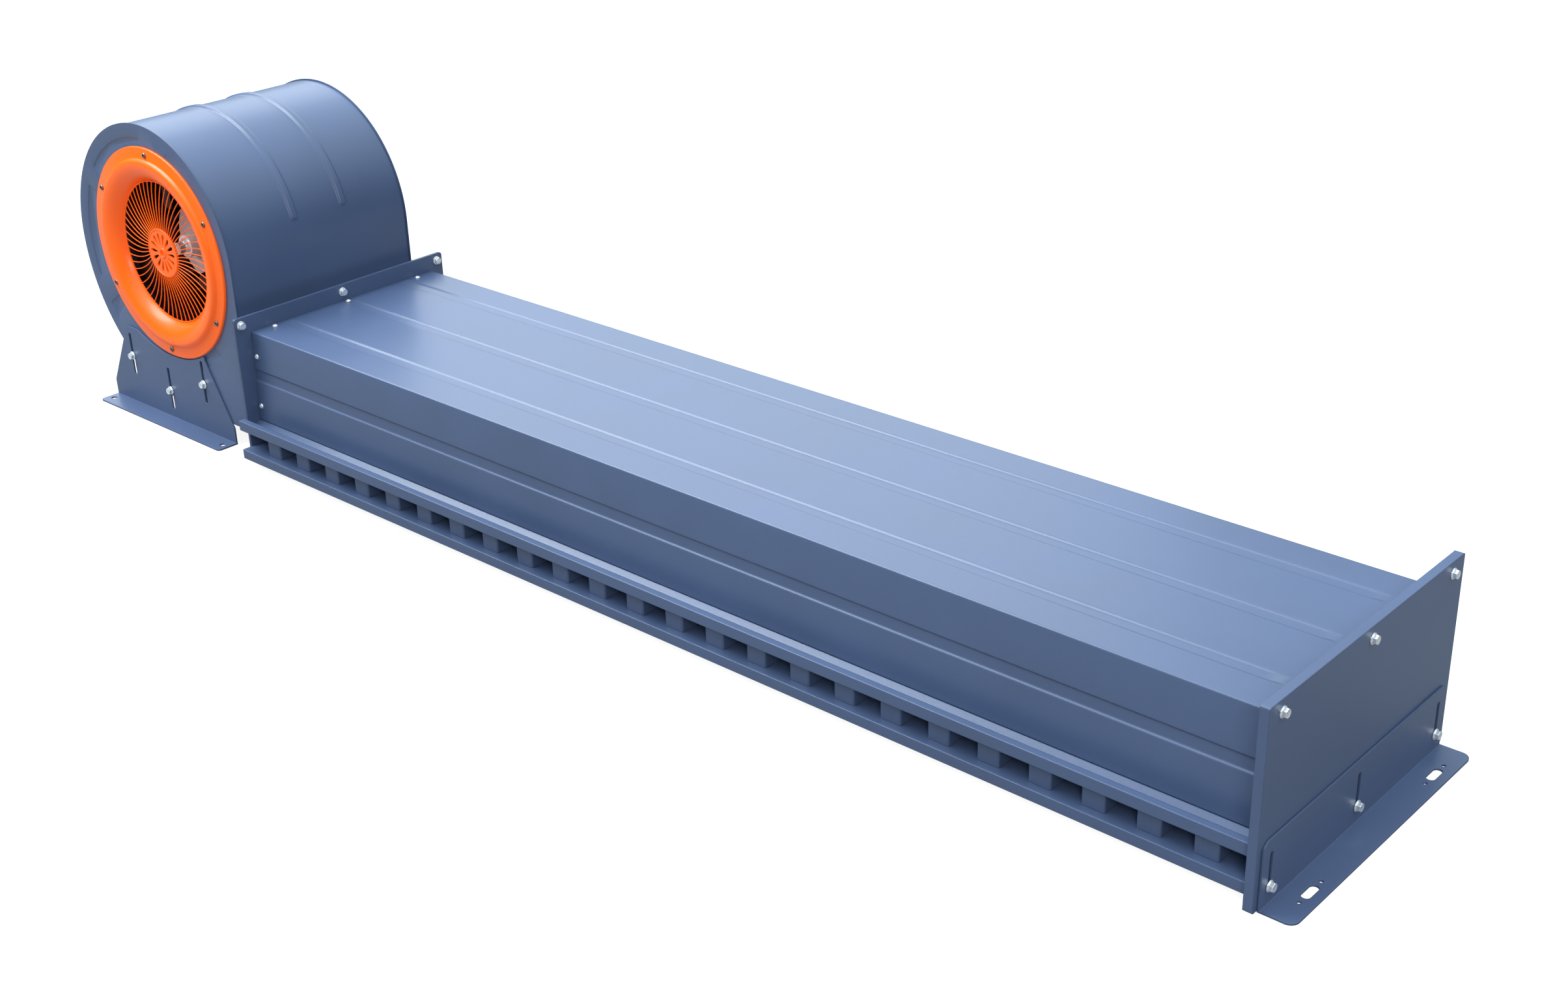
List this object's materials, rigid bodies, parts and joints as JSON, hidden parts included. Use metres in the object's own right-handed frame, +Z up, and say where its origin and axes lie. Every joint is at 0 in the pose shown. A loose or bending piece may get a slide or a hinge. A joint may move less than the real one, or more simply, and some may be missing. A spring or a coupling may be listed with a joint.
{
  "type": "air curtain",
  "caption": "Air curtain with a double-inlet centrifugal blower at one end of a long sheet-metal duct, a slot nozzle along its lower front edge, orange inlet rings with guards, and height-adjustable feet",
  "frame": {"origin": "centre of the bounding box in plan, on the floor that the feet stand on", "axes": "+X from the blower to the closed end of the duct, -Y the side the nozzle blows to, +Z up"},
  "size_m": [2.2442, 0.43, 0.4915],
  "materials": {
    "slate_sheet": "fine powder coat, satin",
    "slate_inner": "fine powder coat, satin, in shade",
    "orange_plastic": "moulded, semi-gloss",
    "zinc": "bright zinc plate",
    "galvanised": "galvanised sheet",
    "dark_steel": "black oxide",
    "cast_alloy": "die-cast, machined",
    "black_paint": "black paint"
  },
  "bodies": {
    "casing": {"scroll_wrap": "slate_sheet", "scroll_side_front": "slate_sheet", "scroll_side_rear": "slate_sheet", "scroll_cutoff": "slate_inner", "outlet_flange": "slate_sheet", "duct_flange": "slate_sheet", "joint_bolts": "zinc", "joint_nuts": "zinc", "duct_screws": "zinc", "duct_cover": "slate_sheet", "duct_floor": "slate_sheet", "nozzle_lip": "slate_sheet", "nozzle_rail": "slate_sheet", "nozzle_blocks": "slate_sheet", "duct_end_flange": "slate_sheet", "end_plate": "slate_sheet", "end_plate_bolts": "zinc", "end_plate_nuts": "zinc", "end_foot_bolts": "zinc", "foot_bolts_front": "zinc", "foot_bolts_rear": "zinc", "foot_nuts": "zinc", "inlet_ring_front": "orange_plastic", "inlet_ring_rear": "orange_plastic", "inlet_guard_front": "orange_plastic", "inlet_guard_rear": "orange_plastic", "ring_screws_front": "dark_steel", "ring_screws_rear": "dark_steel", "motor_can": "black_paint", "motor_shield_front": "cast_alloy", "motor_shield_rear": "cast_alloy", "motor_bearings": "zinc", "motor_bracket": "dark_steel", "motor_bracket_bolts": "zinc"},
    "impeller": {"wheel_centre_plate": "galvanised", "wheel_blades": "galvanised", "wheel_end_rings": "galvanised", "wheel_hub": "cast_alloy", "hub_screws": "dark_steel", "motor_shaft": "zinc", "shaft_nut": "zinc"},
    "front_foot": {"blower_foot_front": "slate_sheet"},
    "rear_foot": {"blower_foot_rear": "slate_sheet"},
    "end_foot": {"end_foot": "slate_sheet"}
  },
  "joints": [
    {"name": "impeller_spin", "type": "hinge", "parent": "casing", "child": "impeller", "pos_m": [-0.89765, 0.007, 0.287], "axis": [0, 1, 0], "continuous": true},
    {"name": "front_foot_slide", "type": "slide", "parent": "casing", "child": "front_foot", "axis": [0, 0, 1], "range_m": [-0.035, 0]},
    {"name": "rear_foot_slide", "type": "slide", "parent": "casing", "child": "rear_foot", "axis": [0, 0, 1], "range_m": [-0.035, 0]},
    {"name": "end_foot_slide", "type": "slide", "parent": "casing", "child": "end_foot", "axis": [0, 0, 1], "range_m": [-0.039, 0]}
  ]
}
